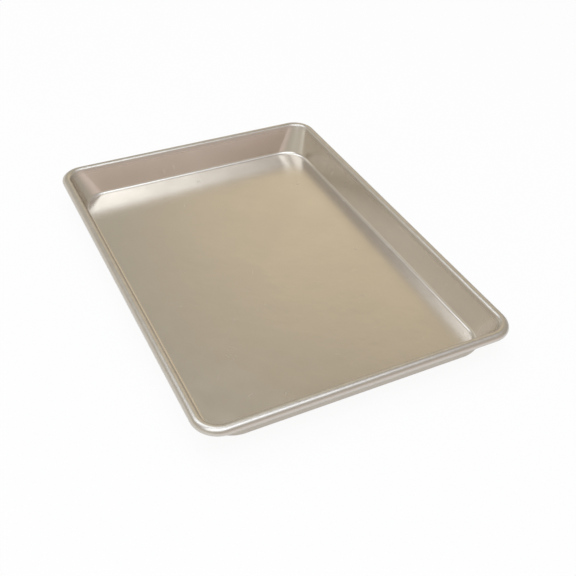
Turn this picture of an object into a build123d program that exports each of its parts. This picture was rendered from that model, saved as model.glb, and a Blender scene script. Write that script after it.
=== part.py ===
from build123d import *
from math import cos, radians, sin, tan
import os

# A jelly roll pan: one sheet of metal drawn into a shallow tray, whose edge is curled
# over a steel wire. Millimetres, +Z up, +X along the long side. The origin is the middle
# of the underside. A place on the rim or wall is given as u, the distance inwards from
# the pan's outer edge, and z, the height.

# Overall sizes
pan_length = 330.0
pan_width = 237.5
pan_height = 25.4

# The sheet, and the wire in its edge
sheet_thickness = 0.8
wire_diameter = 3.6
wire_clearance = 0.05
wire_butt_gap = 1.0

# The rim: a broad round crown that tightens into the curl round the wire. Its turns are
# measured outwards and inwards from the top of the crown
crown_radius = 4.3
crown_outer_turn = 56.0
crown_inner_turn = 50.0
curl_sweep = 259.0
rim_edge_radius = 1.5

# The wall, by its inset at the pan's full height and its lean from upright, and its
# corners, which open out towards the foot
rim_width = 6.3
wall_lean = 16.2
well_corner_radius = 12.8
foot_corner_radius = 22.0
foot_radius = 2.2

# Length by which a cut passes the face that it starts from
overrun = 1.0

# Rim section: the bead and the crown are arcs that meet without a step
bead_radius = wire_diameter / 2 + wire_clearance + sheet_thickness
radius_step = crown_radius - bead_radius
bead_u = bead_radius
bead_z = pan_height - crown_radius + radius_step * cos(radians(crown_outer_turn))
crown_u = bead_u + radius_step * sin(radians(crown_outer_turn))
crown_z = pan_height - crown_radius
crown_sweep = crown_outer_turn + crown_inner_turn

# Wall: the sharp corners of its inner and outer faces, before they are rounded
rim_corner_radius = well_corner_radius + rim_width
foot_inset = rim_width + (pan_height - sheet_thickness) * tan(radians(wall_lean))
wall_level_thickness = sheet_thickness / cos(radians(wall_lean))
foot_step = wall_level_thickness * (1 - sin(radians(wall_lean)))


def rim_section(plane):
    """The sheet's section, from the free edge of its curl over the crown into the wall."""
    with BuildSketch(plane) as section:
        with BuildLine():
            bead = CenterArc((bead_u, bead_z), bead_radius, 90 + crown_outer_turn, curl_sweep)
            bore = CenterArc(
                (bead_u, bead_z),
                bead_radius - sheet_thickness,
                90 + crown_outer_turn,
                curl_sweep,
            )
            Line(bead @ 1, bore @ 1)
            crown = CenterArc((crown_u, crown_z), crown_radius, 90 - crown_inner_turn, crown_sweep)
            underside = CenterArc(
                (crown_u, crown_z),
                crown_radius - sheet_thickness,
                90 - crown_inner_turn,
                crown_sweep,
            )
            Line(crown @ 0, underside @ 0)
        make_face()
    return section.sketch


def space_above_crown(plane):
    """The section of the space over the crown's inner half, which the wall is trimmed to."""
    with BuildSketch(plane) as section:
        with BuildLine():
            crown = CenterArc((crown_u, crown_z), crown_radius, 30, 60)
            Polyline(
                crown @ 1,
                (crown_u, pan_height + overrun),
                ((crown @ 0).X, pan_height + overrun),
                crown @ 0,
            )
        make_face()
    return section.sketch


def wire_section(plane):
    """The wire's section, in the middle of the bead."""
    with BuildSketch(plane) as section:
        with Locations((bead_u, bead_z)):
            Circle(wire_diameter / 2)
    return section.sketch


def carry_round_rim(section_on, mode=Mode.ADD):
    """Carries a section round the rim: straight along each side, then a quarter turn."""
    long_run = pan_length - 2 * rim_corner_radius
    short_run = pan_width - 2 * rim_corner_radius
    sides = (
        (Vector(1, 0), long_run, pan_width / 2),
        (Vector(0, 1), short_run, pan_length / 2),
        (Vector(-1, 0), long_run, pan_width / 2),
        (Vector(0, -1), short_run, pan_length / 2),
    )
    for along, run, reach in sides:
        inwards = Vector(-along.Y, along.X)
        start = inwards * -reach - along * (run / 2)
        end = start + along * run
        extrude(
            section_on(Plane(start, x_dir=inwards, z_dir=along)),
            amount=run,
            dir=along,
            mode=mode,
        )
        revolve(
            section_on(Plane(end, x_dir=inwards, z_dir=along)),
            axis=Axis(end + inwards * rim_corner_radius, (0, 0, 1)),
            revolution_arc=90,
            mode=mode,
        )


def pan_outline(inset, corner_radius, z):
    """The pan's outline at a height, taken in by an inset."""
    with BuildSketch(Plane.XY.offset(z)) as outline:
        RectangleRounded(pan_length - 2 * inset, pan_width - 2 * inset, corner_radius)
    return outline.sketch


# The well: the hollow that the food lies in
with BuildPart() as well:
    loft(
        (
            pan_outline(foot_inset, foot_corner_radius, sheet_thickness),
            pan_outline(rim_width, well_corner_radius, pan_height),
        ),
        ruled=True,
    )
    fillet(well.edges().group_by(Axis.Z)[0], foot_radius)

# The drawn sheet: floor, wall, crown and curl
with BuildPart() as pan_shell:
    loft(
        (
            pan_outline(foot_inset - foot_step, foot_corner_radius + foot_step, 0),
            pan_outline(
                rim_width - wall_level_thickness,
                well_corner_radius + wall_level_thickness,
                pan_height,
            ),
        ),
        ruled=True,
    )
    fillet(pan_shell.edges().group_by(Axis.Z)[0], foot_radius + sheet_thickness)
    carry_round_rim(space_above_crown, mode=Mode.SUBTRACT)
    carry_round_rim(rim_section)
    add(well.part, mode=Mode.SUBTRACT)
    crown_edges = pan_shell.edges(Select.LAST).filter_by_position(Axis.Z, crown_z, pan_height)
    fillet(crown_edges, rim_edge_radius)

pan_shell.part.label = "pan_shell"

# The wire: one length bent to the rim's outline, whose ends meet halfway along a side
with BuildPart() as rim_wire:
    carry_round_rim(wire_section)
    with Locations((0, pan_width / 2 - bead_u, bead_z)):
        Box(
            wire_butt_gap,
            wire_diameter + 2 * overrun,
            wire_diameter + 2 * overrun,
            mode=Mode.SUBTRACT,
        )

rim_wire.part.label = "rim_wire"

os.makedirs("parts", exist_ok=True)
export_step(pan_shell.part, "parts/pan_shell.step")
export_step(rim_wire.part, "parts/rim_wire.step")
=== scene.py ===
from math import acos, atan2, cos, pi, radians, sin, sqrt, tan

import bmesh
import bpy
from mathutils import Matrix, Vector


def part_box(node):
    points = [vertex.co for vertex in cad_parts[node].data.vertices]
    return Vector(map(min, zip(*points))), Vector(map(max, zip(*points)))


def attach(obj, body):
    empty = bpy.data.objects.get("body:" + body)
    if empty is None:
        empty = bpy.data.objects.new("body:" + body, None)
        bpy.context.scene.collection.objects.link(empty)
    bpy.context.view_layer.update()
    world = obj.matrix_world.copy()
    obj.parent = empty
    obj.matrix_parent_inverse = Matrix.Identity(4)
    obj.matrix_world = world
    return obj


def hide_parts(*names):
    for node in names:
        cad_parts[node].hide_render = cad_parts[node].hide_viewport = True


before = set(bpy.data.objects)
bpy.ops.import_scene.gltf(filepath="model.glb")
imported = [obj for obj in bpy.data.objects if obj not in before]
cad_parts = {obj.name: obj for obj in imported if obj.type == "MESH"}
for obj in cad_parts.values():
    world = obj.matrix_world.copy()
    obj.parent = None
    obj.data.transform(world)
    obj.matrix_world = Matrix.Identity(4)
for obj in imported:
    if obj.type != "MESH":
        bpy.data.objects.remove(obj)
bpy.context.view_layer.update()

# Jelly roll pan, in metres, +Z up and +X along the long side. A place on the sheet is
# given as u, the distance inwards from the pan's outer edge, and z, the height.
MM = 0.001

# Overall sizes, from the CAD frame
pan_low, pan_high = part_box("pan_shell")
half_length = (pan_high.x - pan_low.x) / 2
half_width = (pan_high.y - pan_low.y) / 2
pan_height = pan_high.z

# The sheet and the wire
sheet_thickness = 0.8 * MM
wire_radius = 1.8 * MM
wire_clearance = 0.05 * MM
wire_butt_gap = 1.0 * MM
wire_end_chamfer = 0.2 * MM

# The rim: a broad round crown that tightens into the curl round the wire. Its outer turn
# is measured outwards from the top of the crown
crown_radius = 4.3 * MM
crown_outer_turn = radians(56)
curl_sweep = radians(259)
rim_edge_radius = 1.5 * MM

# The wall, by its inset at the pan's full height and its lean from upright, and its
# corners, which open out towards the foot
rim_width = 6.3 * MM
side_lean = radians(16.2)
well_corner_radius = 12.8 * MM
foot_corner_radius = 22.0 * MM
foot_radius = 2.8 * MM

# Rim section: the bead and the crown are arcs that meet without a step
bead_radius = wire_radius + wire_clearance + sheet_thickness
radius_step = crown_radius - bead_radius
bead_z = pan_height - crown_radius + radius_step * cos(crown_outer_turn)
crown_u = bead_radius + radius_step * sin(crown_outer_turn)
crown_z = pan_height - crown_radius
bead_end_angle = pi / 2 + crown_outer_turn

# Wall: how far it leans halfway round a corner
rim_corner_radius = well_corner_radius + rim_width
wall_height = pan_height - sheet_thickness
diagonal_gain = sqrt(2) - 1
corner_run = sqrt(2) * wall_height * tan(side_lean)
corner_run += diagonal_gain * (foot_corner_radius - well_corner_radius)
corner_lean = atan2(corner_run, wall_height)

# How finely the sheet and the wire are divided. Rings round the wall and the floor lie at
# shares of the way from where each starts to where it ends
arc_step = radians(7)
fewest_arc_steps = 3
corner_steps = 20
long_side_cuts = 47
short_side_cuts = 33
wall_shares = (0.012, 0.25, 0.5, 0.75, 0.988)
floor_shares = (0.004, 0.03, 0.08, 0.18, 0.35, 0.6, 1.0)
last_ring_half_width = 20 * MM
last_ring_corner_radius = 6 * MM
wire_sides = 24
wire_chamfer_steps = 2

# Rings are joined while they stand apart in a stack, and then lowered to their heights
stack_step = 5 * MM

# Camera, by where the pan's origin lies in its view, with its focal length in the same
# pixels as the picture's width
camera_azimuth = radians(62.27)
camera_elevation = radians(39.26)
camera_roll = radians(-2.30)
origin_to_right = -19.0 * MM
origin_down = -16.7 * MM
origin_ahead = 678.8 * MM
sensor_width = 36
picture_width = 576
focal_length = 857.05

# Room: each glow by its azimuth and by how far from it the glow is full and has faded
wall_glow = (radians(143), radians(6), radians(25))
upper_shade = (radians(143), radians(18), radians(36))
front_glow = (radians(18), radians(8), radians(58))
side_glow = (radians(250), radians(50), radians(88))
bright_wall_colour = (0.885, 0.775, 0.59, 1)
dim_wall_colour = (0.52, 0.492, 0.42, 1)
upper_front_colour = (0.34, 0.315, 0.26, 1)
upper_side_colour = (0.575, 0.56, 0.57, 1)
horizon_bright = (0.95, 0.935, 0.885, 1)
horizon_front = (0.84, 0.73, 0.71, 1)
horizon_dim = (0.48, 0.453, 0.41, 1)
horizon_low_shade = (0.68, 0.66, 0.70, 1)
backdrop_colour = (1, 1, 1, 1)

# Room: the elevations between which one band passes into the next
horizon_to_wall = (radians(12), radians(26))
wall_to_upper = (radians(32), radians(56))
horizon_to_low_shade = (radians(7), radians(1))

# Studio floor, and how white cameras and reflections see it
floor_radius = 3.0
floor_sides = 96
floor_gap = 0.1 * MM
floor_colour = (0.95, 0.95, 0.95, 1)
floor_roughness = 0.9
backdrop_white = 0.92
mirrored_white = 0.35

# Softboxes: place, size, turn, level and colour
near_softbox = ((0.66, -0.50, 1.6), (1.20, 2.50), radians(8), 1.75, (0.77, 0.85, 0.94))
far_softbox = ((-0.69, -0.29, 1.6), (0.80, 1.66), radians(-17), 1.75, (0.77, 0.85, 0.94))
small_softbox = ((1.17, 0.56, 3.0), (0.84, 1.14), 0, 0.95, (0.60, 0.76, 1.0))

# Metals
sheet_colour = (0.705, 0.655, 0.59, 1)
sheet_shade = (0.69, 0.64, 0.573, 1)
sheet_rubbed = (0.77, 0.73, 0.67, 1)
sheet_spot = (0.66, 0.625, 0.575, 1)
# Painted shade: a darker colour for the rim, so that its highlights come out dimmer
painted_rim_shade = (0.635, 0.593, 0.535, 1)
sheet_roughness = 0.19
wire_colour = (0.52, 0.53, 0.55, 1)
wire_pale = (0.62, 0.63, 0.65, 1)
wire_dull = (0.42, 0.43, 0.45, 1)
wire_roughness = 0.30
spangle_cells = 420.0
relief_depth = 1 * MM

# Heights from which the rim looks worn, and from which painted shade darkens it to dim its
# highlights and it turns rougher
wear_start = crown_z + 2.4 * MM
rim_shade_start = crown_z - 1 * MM
rim_shade_full = pan_height - 2 * MM


def rounding(turn):
    """How many steps a round stretch of the section takes."""
    return max(fewest_arc_steps, round(turn / arc_step))


def arc_points(centre_u, centre_z, radius, start, end):
    """Points (u, z) along an arc of the section, both ends included."""
    steps = rounding(abs(end - start))
    angles = [start + (end - start) * step / steps for step in range(steps + 1)]
    return [(centre_u + radius * cos(a), centre_z + radius * sin(a)) for a in angles]


def rounded_edge(lean):
    """Where the round edge between crown and wall has its centre, and where it starts."""
    reach = crown_radius - rim_edge_radius
    across = (crown_u - rim_width) * cos(lean) + (crown_z - pan_height) * sin(lean)
    start = lean + acos((-rim_edge_radius - across) / reach)
    return crown_u + reach * cos(start), crown_z + reach * sin(start), start


def rounded_foot(lean, radius):
    """Where the round foot between wall and floor has its centre."""
    foot_u = rim_width + wall_height * tan(lean)
    return foot_u + radius * tan((pi / 2 - lean) / 2), sheet_thickness + radius


def inset_round_corner(z):
    """How far in the sheet's face lies at a height of the wall, halfway round a corner."""
    edge_u, edge_z, start = rounded_edge(corner_lean)
    side_foot_top = sheet_thickness + foot_radius * (1 - sin(side_lean))
    if z > crown_z + crown_radius * sin(start):
        return crown_u + sqrt(crown_radius**2 - (z - crown_z) ** 2)
    if z > edge_z + rim_edge_radius * sin(corner_lean):
        return edge_u + sqrt(rim_edge_radius**2 - (z - edge_z) ** 2)
    if z > side_foot_top:
        return rim_width + (pan_height - z) * tan(corner_lean)
    radius = foot_radius * (1 - sin(side_lean)) / (1 - sin(corner_lean))
    centre_u, centre_z = rounded_foot(corner_lean, radius)
    return centre_u - sqrt(max(0, radius**2 - (centre_z - z) ** 2))


def corner_radius_at(u, z):
    """The plan radius that carries the side's place (u, z) round to the corner's inset."""
    return rim_corner_radius - (sqrt(2) * u - inset_round_corner(z)) / diagonal_gain


def sheet_stations():
    """The sheet's upper face as (u, z, corner radius), from the curl's free edge to the floor."""
    free_edge_angle = bead_end_angle + curl_sweep
    rim = arc_points(bead_radius, bead_z, bead_radius, free_edge_angle, bead_end_angle)
    edge_u, edge_z, start = rounded_edge(side_lean)
    rim += arc_points(crown_u, crown_z, crown_radius, bead_end_angle, start)[1:]
    stations = [(u, z, rim_corner_radius - u) for u, z in rim]

    edge = arc_points(edge_u, edge_z, rim_edge_radius, start, side_lean)[1:]
    foot_u, foot_z = rounded_foot(side_lean, foot_radius)
    foot = arc_points(foot_u, foot_z, foot_radius, pi + side_lean, 3 * pi / 2)
    top_u, top_z = edge[-1]
    low_u, low_z = foot[0]
    wall = [
        (top_u + (low_u - top_u) * share, top_z + (low_z - top_z) * share)
        for share in wall_shares
    ]
    stations += [(u, z, corner_radius_at(u, z)) for u, z in edge + wall + foot]

    floor_u, floor_z, floor_corner = stations[-1]
    last_u = half_width - last_ring_half_width
    for share in floor_shares:
        corner = floor_corner + (last_ring_corner_radius - floor_corner) * share
        stations.append((floor_u + (last_u - floor_u) * share, floor_z, corner))
    return stations


def add_ring(bm, inset, height, corner_radius):
    """Lays the pan's outline, taken in by an inset, as a loop of edges."""
    x, y = half_length - inset, half_width - inset
    signs = ((1, 1), (-1, 1), (-1, -1), (1, -1))
    corners = [bm.verts.new((x * i, y * j, height)) for i, j in signs]
    bm.faces.new(corners)
    rounded = bmesh.ops.bevel(
        bm,
        geom=corners,
        affect="VERTICES",
        offset=corner_radius,
        offset_type="OFFSET",
        segments=corner_steps,
        profile=0.5,
        material=-1,
    )
    loop = {edge for vertex in rounded["verts"] for edge in vertex.link_edges}
    bmesh.ops.delete(bm, geom=rounded["verts"][0].link_faces[:], context="FACES_ONLY")

    # The four longest edges are the straight sides
    for side in sorted(loop, key=lambda edge: edge.calc_length())[-4:]:
        run = side.verts[0].co - side.verts[1].co
        cuts = long_side_cuts if abs(run.x) > abs(run.y) else short_side_cuts
        made = bmesh.ops.subdivide_edges(bm, edges=[side], cuts=cuts)
        loop.update(part for part in made["geom_split"] if isinstance(part, bmesh.types.BMEdge))
    return list(loop)


def make_object(name, bm, material):
    """Turns a finished bmesh into a smooth-shaded piece that rides with the pan."""
    mesh = bpy.data.meshes.new(name)
    for face in bm.faces:
        face.smooth = True
    bm.to_mesh(mesh)
    bm.free()
    mesh.materials.append(material)
    piece = bpy.data.objects.new(name, mesh)
    bpy.context.scene.collection.objects.link(piece)
    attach(piece, "root")
    return piece


def build_sheet(material):
    """The drawn sheet: floor, walls, crown and curl, as one closed skin of even thickness."""
    bm = bmesh.new()
    stations = sheet_stations()
    rings = []
    for step, (u, z, corner) in enumerate(stations):
        rings.append(add_ring(bm, u, step * stack_step, corner))
    for outer, inner in zip(rings, rings[1:]):
        bmesh.ops.bridge_loops(bm, edges=outer + inner)
    bmesh.ops.contextual_create(bm, geom=rings[-1])
    for step, (ring, station) in enumerate(zip(rings, stations)):
        drop = station[1] - step * stack_step
        vertices = list({vertex for edge in ring for vertex in edge.verts})
        bmesh.ops.translate(bm, verts=vertices, vec=(0, 0, drop))
    bmesh.ops.recalc_face_normals(bm, faces=bm.faces[:])
    bmesh.ops.solidify(bm, geom=bm.faces[:], thickness=sheet_thickness)
    return make_object("drawn_sheet", bm, material)


def build_wire(material):
    """The wire in the curl: bent round from the middle of a side to meet its own start."""
    bm = bmesh.new()
    first_end = Matrix.Translation((wire_butt_gap / 2, half_width - bead_radius, bead_z))
    circle = bmesh.ops.create_circle(
        bm,
        cap_ends=False,
        segments=wire_sides,
        radius=wire_radius,
        matrix=first_end @ Matrix.Rotation(pi / 2, 4, "Y"),
    )
    start = list({edge for vertex in circle["verts"] for edge in vertex.link_edges})
    end = start
    turn_x, turn_y = half_length - rim_corner_radius, half_width - rim_corner_radius
    half_side = turn_x - wire_butt_gap / 2
    legs = (
        ((1, 0), half_side, (turn_x, turn_y)),
        ((0, -1), 2 * turn_y, (turn_x, -turn_y)),
        ((-1, 0), 2 * turn_x, (-turn_x, -turn_y)),
        ((0, 1), 2 * turn_y, (-turn_x, turn_y)),
        ((1, 0), half_side, None),
    )
    for along, run, turn_centre in legs:
        made = bmesh.ops.extrude_edge_only(bm, edges=end)["geom"]
        end = [part for part in made if isinstance(part, bmesh.types.BMEdge)]
        vertices = [part for part in made if isinstance(part, bmesh.types.BMVert)]
        step = Vector((*along, 0)) * run
        bmesh.ops.translate(bm, verts=vertices, vec=step)
        if turn_centre:
            bent = bmesh.ops.spin(
                bm,
                geom=end,
                cent=(*turn_centre, 0),
                axis=(0, 0, 1),
                angle=-pi / 2,
                steps=corner_steps,
            )
            end = [part for part in bent["geom_last"] if isinstance(part, bmesh.types.BMEdge)]
    caps = [bmesh.ops.contextual_create(bm, geom=ends)["faces"][0] for ends in (start, end)]
    bmesh.ops.recalc_face_normals(bm, faces=bm.faces[:])
    rims = [edge for cap in caps for edge in cap.edges]
    bmesh.ops.bevel(
        bm,
        geom=rims,
        affect="EDGES",
        offset=wire_end_chamfer,
        segments=wire_chamfer_steps,
        profile=0.5,
        material=-1,
    )
    return make_object("bent_wire", bm, material)


def connect(tree, source, node, socket):
    """Joins an output to an input, or sets the input where the source is a plain value."""
    if isinstance(source, bpy.types.NodeSocket):
        tree.links.new(source, node.inputs[socket])
    else:
        node.inputs[socket].default_value = source


def math_node(tree, operation, first, second=0.0):
    """One sum on the way to a shader."""
    node = tree.nodes.new("ShaderNodeMath")
    node.operation = operation
    connect(tree, first, node, 0)
    connect(tree, second, node, 1)
    return node.outputs[0]


def smooth_range(tree, value, low, high):
    """0 below low, 1 above high, and a smooth rise between them."""
    node = tree.nodes.new("ShaderNodeMapRange")
    node.interpolation_type = "SMOOTHSTEP"
    connect(tree, value, node, "Value")
    connect(tree, low, node, "From Min")
    connect(tree, high, node, "From Max")
    return node.outputs["Result"]


def mix_colours(tree, factor, first, second, blend="MIX"):
    """Two colours mixed by a factor. Colours go in at sockets 6 and 7 and come out at 2."""
    node = tree.nodes.new("ShaderNodeMix")
    node.data_type = "RGBA"
    node.blend_type = blend
    connect(tree, factor, node, 0)
    connect(tree, first, node, 6)
    connect(tree, second, node, 7)
    return node.outputs[2]


def start_group(name, takes, gives):
    """An empty shared effect, which takes a place and named values and gives one value."""
    group = bpy.data.node_groups.new(name, "ShaderNodeTree")
    group.interface.new_socket("Place", in_out="INPUT", socket_type="NodeSocketVector")
    for label in takes:
        group.interface.new_socket(label, in_out="INPUT", socket_type="NodeSocketFloat")
    group.interface.new_socket(gives, in_out="OUTPUT", socket_type="NodeSocketFloat")
    return group, group.nodes.new("NodeGroupInput").outputs, group.nodes.new("NodeGroupOutput")


def use_group(tree, group, **values):
    """Places a shared effect in a material and gives it its own values."""
    node = tree.nodes.new("ShaderNodeGroup")
    node.node_tree = group
    for label, value in values.items():
        connect(tree, value, node, label)
    return node.outputs[0]


def parts_of(tree, vector):
    """The three parts of a place, a direction or a cell's colour."""
    node = tree.nodes.new("ShaderNodeSeparateXYZ")
    connect(tree, vector, node, 0)
    return node.outputs


def noise_at(tree, place, detail, roughness):
    """Smooth noise from 0 to 1, one lump to each unit of the place given."""
    node = tree.nodes.new("ShaderNodeTexNoise")
    connect(tree, place, node, "Vector")
    connect(tree, 1.0, node, "Scale")
    connect(tree, detail, node, "Detail")
    connect(tree, roughness, node, "Roughness")
    return node.outputs["Fac"]


def cells_at(tree, place):
    """Cells of random size and colour, about one to each unit of the place given."""
    node = tree.nodes.new("ShaderNodeTexVoronoi")
    connect(tree, place, node, "Vector")
    connect(tree, 1.0, node, "Scale")
    return node.outputs


def scaled(tree, place, x, y, z):
    """A place with each of its directions scaled."""
    factors = tree.nodes.new("ShaderNodeCombineXYZ")
    for socket, factor in enumerate((x, y, z)):
        connect(tree, factor, factors, socket)
    node = tree.nodes.new("ShaderNodeVectorMath")
    node.operation = "MULTIPLY"
    connect(tree, place, node, 0)
    connect(tree, factors.outputs[0], node, 1)
    return node.outputs[0]


def evenly_scaled(tree, place, factor):
    """A place scaled alike in all its directions."""
    return scaled(tree, place, factor, factor, factor)


def turned(tree, place, angle):
    """A place turned about the upright axis."""
    node = tree.nodes.new("ShaderNodeVectorRotate")
    node.rotation_type = "Z_AXIS"
    connect(tree, place, node, "Vector")
    connect(tree, angle, node, "Angle")
    return node.outputs[0]


def drawn_grain():
    """Lines left in the metal by rolling or drawing, running along X."""
    group, given, result = start_group("drawn_grain", ("Along", "Across"), "Lines")
    place = scaled(group, given["Place"], given["Along"], given["Across"], 0.0)
    connect(group, noise_at(group, place, detail=3.0, roughness=0.6), result, "Lines")
    return group


def cloudy_patches():
    """Soft uneven patches, such as washing and handling leave."""
    group, given, result = start_group("cloudy_patches", ("Patches",), "Clouds")
    place = evenly_scaled(group, given["Place"], given["Patches"])
    lumps = noise_at(group, place, detail=4.0, roughness=0.55)
    connect(group, smooth_range(group, lumps, low=0.30, high=0.70), result, "Clouds")
    return group


def fine_scratches():
    """Short thin scratches in three directions, kept to the places that were rubbed."""
    group, given, result = start_group("fine_scratches", ("Fineness", "Share"), "Scratches")
    width_to_length = 0.02
    upright_scale = 40.0
    line_edge = 0.03
    found = 0.0
    for angle, rubbed_scale in ((radians(24), 31.0), (radians(-41), 38.0), (radians(83), 45.0)):
        way = turned(group, given["Place"], angle)
        along = math_node(group, "MULTIPLY", given["Fineness"], width_to_length)
        place = scaled(group, way, along, given["Fineness"], upright_scale)
        streaks = noise_at(group, place, detail=1.0, roughness=0.5)
        start = math_node(group, "SUBTRACT", 1.0, given["Share"])
        line = smooth_range(group, streaks, start, math_node(group, "ADD", start, line_edge))
        place = scaled(group, way, rubbed_scale, 43.0, 31.0)
        rubbed = noise_at(group, place, detail=2.0, roughness=0.5)
        rubbed = smooth_range(group, rubbed, low=0.48, high=0.62)
        found = math_node(group, "MAXIMUM", found, math_node(group, "MULTIPLY", line, rubbed))
    connect(group, found, result, "Scratches")
    return group


def raised_wear():
    """Broken-up wear from a height upwards, where the metal is touched and set down."""
    group, given, result = start_group("raised_wear", ("Start", "Full", "Lumps"), "Wear")
    height = parts_of(group, given["Place"])[2]
    raised = smooth_range(group, height, given["Start"], given["Full"])
    place = evenly_scaled(group, given["Place"], given["Lumps"])
    lumps = noise_at(group, place, detail=5.0, roughness=0.65)
    broken = smooth_range(group, lumps, low=0.40, high=0.66)
    connect(group, math_node(group, "MULTIPLY", raised, broken), result, "Wear")
    return group


def water_spots():
    """Small dried spots, thinly scattered."""
    group, given, result = start_group("water_spots", ("Cells", "Size"), "Spots")
    empty_share = 0.72
    spot_edge = 0.05
    cells = cells_at(group, evenly_scaled(group, given["Place"], given["Cells"]))
    chance, size_share = parts_of(group, cells["Color"])[:2]
    size = math_node(group, "MULTIPLY", given["Size"], size_share)
    inside = math_node(group, "SUBTRACT", size, cells["Distance"])
    spot = smooth_range(group, inside, 0.0, spot_edge)
    rare = math_node(group, "GREATER_THAN", chance, empty_share)
    connect(group, math_node(group, "MULTIPLY", spot, rare), result, "Spots")
    return group


def start_metal(name):
    """A new metal, with its shader and the place on the object."""
    material = bpy.data.materials.new(name)
    material.use_nodes = True
    tree = material.node_tree
    place = tree.nodes.new("ShaderNodeTexCoord").outputs["Object"]
    shader = tree.nodes["Principled BSDF"]
    shader.inputs["Metallic"].default_value = 1
    return material, tree, place, shader


def weighed(tree, base, *parts):
    """A base value with several effects added, each by its weight."""
    total = base
    for effect, weight in parts:
        total = math_node(tree, "ADD", total, math_node(tree, "MULTIPLY", effect, weight))
    return total


def tinted(tree, colour, tint, effect, weight):
    """A colour drawn towards a tint by an effect and its weight."""
    return mix_colours(tree, math_node(tree, "MULTIPLY", effect, weight), colour, tint)


def raise_surface(tree, shader, *parts):
    """Gives a shader its relief, from effects and their weights."""
    bump = tree.nodes.new("ShaderNodeBump")
    bump.inputs["Distance"].default_value = relief_depth
    connect(tree, weighed(tree, 0.0, *parts), bump, "Height")
    connect(tree, bump.outputs[0], shader, "Normal")


def sheet_metal(effects):
    """Satin aluminium with a warm tone: rolled, drawn, washed and worn, with painted shade
    darkening the rim.
    """
    material, tree, place, shader = start_metal("champagne_aluminium")
    grain = use_group(tree, effects["grain"], Place=place, Along=9.0, Across=820.0)
    clouds = use_group(tree, effects["clouds"], Place=place, Patches=16.0)
    smears = use_group(tree, effects["clouds"], Place=place, Patches=55.0)
    scratches = use_group(tree, effects["scratches"], Place=place, Fineness=1500.0, Share=0.26)
    wear = use_group(
        tree, effects["wear"], Place=place, Start=wear_start, Full=pan_height, Lumps=160.0
    )
    spots = use_group(tree, effects["spots"], Place=place, Cells=75.0, Size=0.16)
    # Mask rising from the wall's top to the crown: it carries the rim's painted shade and its
    # extra roughness
    rim_shade_and_roughness = smooth_range(tree, parts_of(tree, place)[2], rim_shade_start, rim_shade_full)

    colour = mix_colours(tree, clouds, sheet_colour, sheet_shade)
    # Painted shade: the rim's colour is darkened towards the top, which dims its highlights
    colour = mix_colours(tree, rim_shade_and_roughness, colour, painted_rim_shade)
    colour = tinted(tree, colour, sheet_rubbed, scratches, 0.25)
    colour = tinted(tree, colour, sheet_rubbed, wear, 0.4)
    colour = tinted(tree, colour, sheet_spot, spots, 0.3)
    connect(tree, colour, shader, "Base Color")

    roughness = weighed(
        tree,
        sheet_roughness,
        (rim_shade_and_roughness, 0.08),
        (grain, 0.04),
        (clouds, 0.03),
        (smears, 0.025),
        (scratches, 0.04),
        (wear, -0.02),
        (spots, 0.05),
    )
    connect(tree, roughness, shader, "Roughness")
    raise_surface(
        tree,
        shader,
        (grain, 0.0012),
        (clouds, 0.10),
        (smears, 0.006),
        (scratches, -0.0008),
    )
    return material


def wire_metal(effects):
    """Galvanised steel: zinc spangle over faint drawing lines."""
    material, tree, place, shader = start_metal("galvanised_steel")
    spangle = cells_at(tree, evenly_scaled(tree, place, spangle_cells))
    pale, rough = parts_of(tree, spangle["Color"])[:2]
    grain = use_group(tree, effects["grain"], Place=place, Along=14.0, Across=2600.0)
    clouds = use_group(tree, effects["clouds"], Place=place, Patches=60.0)
    colour = mix_colours(tree, pale, wire_colour, wire_pale)
    colour = tinted(tree, colour, wire_dull, clouds, 0.4)
    connect(tree, colour, shader, "Base Color")
    roughness = weighed(tree, wire_roughness, (rough, 0.10), (grain, 0.06), (clouds, 0.10))
    connect(tree, roughness, shader, "Roughness")
    raise_surface(tree, shader, (grain, 0.002), (clouds, 0.004))
    return material


def build_stage():
    """The pale floor that the pan stands on."""
    bm = bmesh.new()
    bmesh.ops.create_circle(
        bm,
        cap_ends=True,
        segments=floor_sides,
        radius=floor_radius,
        matrix=Matrix.Translation((0, 0, -floor_gap)),
    )
    mesh = bpy.data.meshes.new("studio_floor")
    bm.to_mesh(mesh)
    bm.free()
    floor = bpy.data.objects.new("studio_floor", mesh)
    bpy.context.scene.collection.objects.link(floor)
    material = bpy.data.materials.new("studio_white")
    material.use_nodes = True
    tree = material.node_tree
    shader = tree.nodes["Principled BSDF"]
    shader.inputs["Base Color"].default_value = floor_colour
    shader.inputs["Roughness"].default_value = floor_roughness
    white = tree.nodes.new("ShaderNodeEmission")
    rays = tree.nodes.new("ShaderNodeLightPath").outputs
    mirrored = math_node(tree, "MAXIMUM", rays["Is Glossy Ray"], rays["Is Transmission Ray"])
    mirrored = math_node(tree, "MULTIPLY", mirrored, mirrored_white)
    seen = math_node(tree, "MULTIPLY", rays["Is Camera Ray"], backdrop_white)
    mixed = tree.nodes.new("ShaderNodeMixShader")
    connect(tree, math_node(tree, "MAXIMUM", seen, mirrored), mixed, 0)
    connect(tree, shader.outputs[0], mixed, 1)
    connect(tree, white.outputs[0], mixed, 2)
    connect(tree, mixed.outputs[0], tree.nodes["Material Output"], "Surface")
    mesh.materials.append(material)


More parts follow.
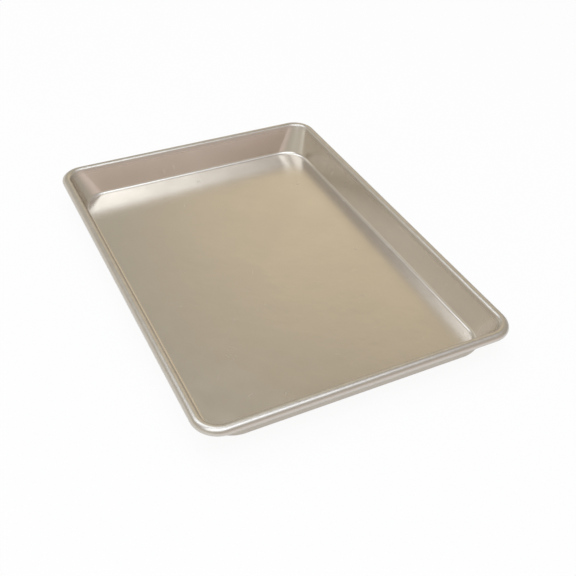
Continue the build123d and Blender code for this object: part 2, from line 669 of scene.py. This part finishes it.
def place_camera():
    """The camera, at the photograph's angle."""
    level_reach = cos(camera_elevation)
    back = Vector(
        (
            sin(camera_azimuth) * level_reach,
            -cos(camera_azimuth) * level_reach,
            sin(camera_elevation),
        )
    )
    right = (-back).cross(Vector((0, 0, 1))).normalized()
    down = (-back).cross(right)
    tilted_right = right * cos(camera_roll) + down * sin(camera_roll)
    tilted_down = down * cos(camera_roll) - right * sin(camera_roll)
    origin = tilted_right * origin_to_right + tilted_down * origin_down - back * origin_ahead

    data = bpy.data.cameras.new("camera")
    data.sensor_width = sensor_width
    data.lens = focal_length / picture_width * sensor_width
    camera = bpy.data.objects.new("camera", data)
    turn = Matrix((tilted_right, -tilted_down, back)).transposed()
    camera.matrix_world = Matrix.Translation(-origin) @ turn.to_4x4()
    bpy.context.scene.collection.objects.link(camera)
    bpy.context.scene.camera = camera


def light_world():
    """A pale room: a band over the horizon, warm walls above it, and a white backdrop."""
    world = bpy.data.worlds.new("studio")
    world.use_nodes = True
    tree = world.node_tree
    direction = tree.nodes.new("ShaderNodeTexCoord").outputs["Generated"]
    x, y, up = parts_of(tree, direction)

    # The length of a direction's level part, kept just above 0 straight up
    level = math_node(tree, "SUBTRACT", 1.0001, math_node(tree, "MULTIPLY", up, up))
    level = math_node(tree, "SQRT", level)

    def glow(azimuth, full, faded):
        """1 within an angle of an azimuth, fading to 0 at a wider one."""
        along_x = math_node(tree, "MULTIPLY", x, cos(azimuth))
        along_y = math_node(tree, "MULTIPLY", y, sin(azimuth))
        facing = math_node(tree, "DIVIDE", math_node(tree, "ADD", along_x, along_y), level)
        return smooth_range(tree, facing, cos(faded), cos(full))

    def passed(start, end):
        """0 at the elevation where one band ends, and 1 where the next is full."""
        return smooth_range(tree, up, sin(start), sin(end))

    wall = mix_colours(tree, glow(*wall_glow), dim_wall_colour, bright_wall_colour)
    upper = mix_colours(tree, glow(*upper_shade), upper_side_colour, upper_front_colour)
    wall = mix_colours(tree, passed(*wall_to_upper), wall, upper)
    horizon = mix_colours(tree, glow(*side_glow), horizon_dim, horizon_bright)
    low = passed(*horizon_to_low_shade)
    horizon = mix_colours(tree, low, horizon, horizon_low_shade, "MULTIPLY")
    horizon = mix_colours(tree, glow(*front_glow), horizon, horizon_front)
    room = mix_colours(tree, passed(*horizon_to_wall), horizon, wall)
    seen = tree.nodes.new("ShaderNodeLightPath").outputs["Is Camera Ray"]
    room = mix_colours(tree, seen, room, backdrop_colour)

    connect(tree, room, tree.nodes["Background"], "Color")
    bpy.context.scene.world = world


def hang_softbox(name, place, size, turn, level, colour):
    """A round soft light above the pan. Its power is its level times pi and its area."""
    data = bpy.data.lights.new(name, "AREA")
    data.shape = "ELLIPSE"
    data.size, data.size_y = size
    area = pi / 4 * size[0] * size[1]
    data.energy = level * pi * area
    data.color = colour
    softbox = bpy.data.objects.new(name, data)
    softbox.location = place
    softbox.rotation_euler = (0, 0, turn)
    softbox.visible_camera = False
    bpy.context.scene.collection.objects.link(softbox)


bpy.context.scene.view_settings.view_transform = "Standard"
place_camera()
light_world()
hang_softbox("near_softbox", *near_softbox)
hang_softbox("far_softbox", *far_softbox)
hang_softbox("small_softbox", *small_softbox)
build_stage()
effects = {
    "grain": drawn_grain(),
    "clouds": cloudy_patches(),
    "scratches": fine_scratches(),
    "wear": raised_wear(),
    "spots": water_spots(),
}
sheet = build_sheet(sheet_metal(effects))
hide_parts("pan_shell")
wire = build_wire(wire_metal(effects))
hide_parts("rim_wire")
